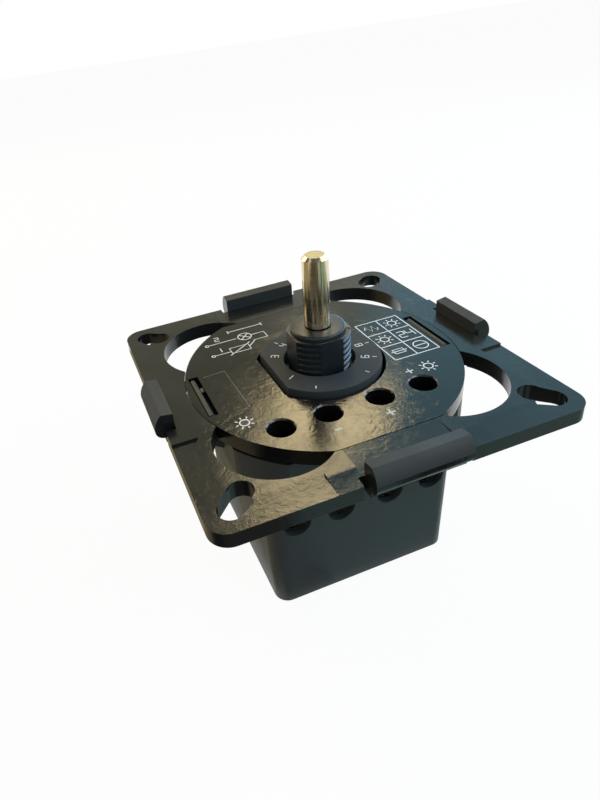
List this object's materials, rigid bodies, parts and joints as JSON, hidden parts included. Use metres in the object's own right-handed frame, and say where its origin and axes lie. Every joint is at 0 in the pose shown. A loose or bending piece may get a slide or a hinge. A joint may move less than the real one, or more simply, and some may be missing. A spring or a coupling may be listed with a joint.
{
  "type": "rotary dimmer insert",
  "caption": "Flush-mounted rotary dimmer insert: square clip plate, round cover disc, threaded neck with a push-and-turn brass shaft, and a tapered housing with screw clamps.",
  "frame": {"origin": "on the shaft's axis, level with the housing's flat bottom", "axes": "+Z along the shaft towards the knob; -Y towards the wire entries; X along the plate's front edge"},
  "size_m": [0.0566, 0.0566, 0.0512],
  "materials": {
    "charcoal_plastic": "satin",
    "black_plastic": "satin",
    "block_plastic": "matt",
    "white_nylon": "matt",
    "shaft_brass": "fine turned",
    "contact_bronze": "bright",
    "tinned_metal": "bright",
    "plated_steel": "zinc plated",
    "aluminium_sheet": "satin",
    "board_laminate": "satin",
    "phenolic_brown": "matt",
    "capacitor_sleeve": "gloss",
    "capacitor_red": "gloss",
    "ferrite": "matt",
    "copper_wire": "enamelled",
    "fuse_glass": "clear"
  },
  "bodies": {
    "insert": {"mounting_plate": "charcoal_plastic", "cover_disc": "charcoal_plastic", "housing": "charcoal_plastic", "face_plate": "charcoal_plastic", "threaded_neck": "black_plastic", "pot_case": "black_plastic", "resistor_disc": "phenolic_brown", "pot_leads": "tinned_metal", "switch_case": "black_plastic", "fixed_contacts": "tinned_metal", "return_spring": "tinned_metal", "circuit_board": "board_laminate", "board_screws": "plated_steel", "left_terminal_block": "block_plastic", "right_terminal_block": "block_plastic", "contact_bars": "tinned_metal", "power_transistors": "black_plastic", "heat_spreader": "aluminium_sheet", "transistor_screws": "plated_steel", "storage_capacitor": "capacitor_sleeve", "film_capacitor": "capacitor_red", "choke_core": "ferrite", "choke_winding": "copper_wire", "control_chip": "black_plastic", "fuse": "fuse_glass", "chip_resistors": "black_plastic"},
    "push_carriage": {"push_plunger": "white_nylon", "contact_bridge": "contact_bronze"},
    "shaft_group": {"shaft": "shaft_brass", "shaft_clip": "tinned_metal"},
    "rotor_group": {"rotor": "white_nylon", "wiper": "contact_bronze"},
    "clamp_screw_1": {"clamp_screw_1": "plated_steel"},
    "clamp_cage_1": {"clamp_cage_1": "plated_steel"},
    "clamp_screw_2": {"clamp_screw_2": "plated_steel"},
    "clamp_cage_2": {"clamp_cage_2": "plated_steel"},
    "clamp_screw_3": {"clamp_screw_3": "plated_steel"},
    "clamp_cage_3": {"clamp_cage_3": "plated_steel"},
    "clamp_screw_4": {"clamp_screw_4": "plated_steel"},
    "clamp_cage_4": {"clamp_cage_4": "plated_steel"}
  },
  "joints": [
    {"name": "shaft_push", "type": "slide", "parent": "insert", "child": "push_carriage", "axis": [0, 0, -1], "range_m": [0, 0.0015], "stiffness_N_per_m": 1500, "springref_m": -0.001, "deforming": ["return_spring"]},
    {"name": "shaft_turn", "type": "hinge", "parent": "push_carriage", "child": "shaft_group", "pos_m": [0, 0, 0.045], "axis": [0, 0, -1], "range_deg": [-150, 150]},
    {"name": "rotor_turn", "type": "hinge", "parent": "insert", "child": "rotor_group", "pos_m": [0, 0, 0.027], "axis": [0, 0, -1], "range_deg": [-150, 150]},
    {"name": "screw_turn_1", "type": "hinge", "parent": "insert", "child": "clamp_screw_1", "pos_m": [-0.0122, -0.0126, 0.0261], "axis": [0, 0, -1], "range_deg": [0, 2520]},
    {"name": "cage_lift_1", "type": "slide", "parent": "insert", "child": "clamp_cage_1", "axis": [0, 0, 1], "range_m": [0, 0.0035]},
    {"name": "screw_turn_2", "type": "hinge", "parent": "insert", "child": "clamp_screw_2", "pos_m": [-0.005, -0.0126, 0.0261], "axis": [0, 0, -1], "range_deg": [0, 2520]},
    {"name": "cage_lift_2", "type": "slide", "parent": "insert", "child": "clamp_cage_2", "axis": [0, 0, 1], "range_m": [0, 0.0035]},
    {"name": "screw_turn_3", "type": "hinge", "parent": "insert", "child": "clamp_screw_3", "pos_m": [0.0032, -0.0126, 0.0261], "axis": [0, 0, -1], "range_deg": [0, 2520]},
    {"name": "cage_lift_3", "type": "slide", "parent": "insert", "child": "clamp_cage_3", "axis": [0, 0, 1], "range_m": [0, 0.0035]},
    {"name": "screw_turn_4", "type": "hinge", "parent": "insert", "child": "clamp_screw_4", "pos_m": [0.0104, -0.0126, 0.0261], "axis": [0, 0, -1], "range_deg": [0, 2520]},
    {"name": "cage_lift_4", "type": "slide", "parent": "insert", "child": "clamp_cage_4", "axis": [0, 0, 1], "range_m": [0, 0.0035]}
  ],
  "couplings": [
    {"joint": "rotor_turn", "follows": "shaft_turn", "ratio": 1},
    {"joint": "screw_turn_1", "follows": "cage_lift_1", "rad_per_m": 12566},
    {"joint": "screw_turn_2", "follows": "cage_lift_2", "rad_per_m": 12566},
    {"joint": "screw_turn_3", "follows": "cage_lift_3", "rad_per_m": 12566},
    {"joint": "screw_turn_4", "follows": "cage_lift_4", "rad_per_m": 12566}
  ]
}
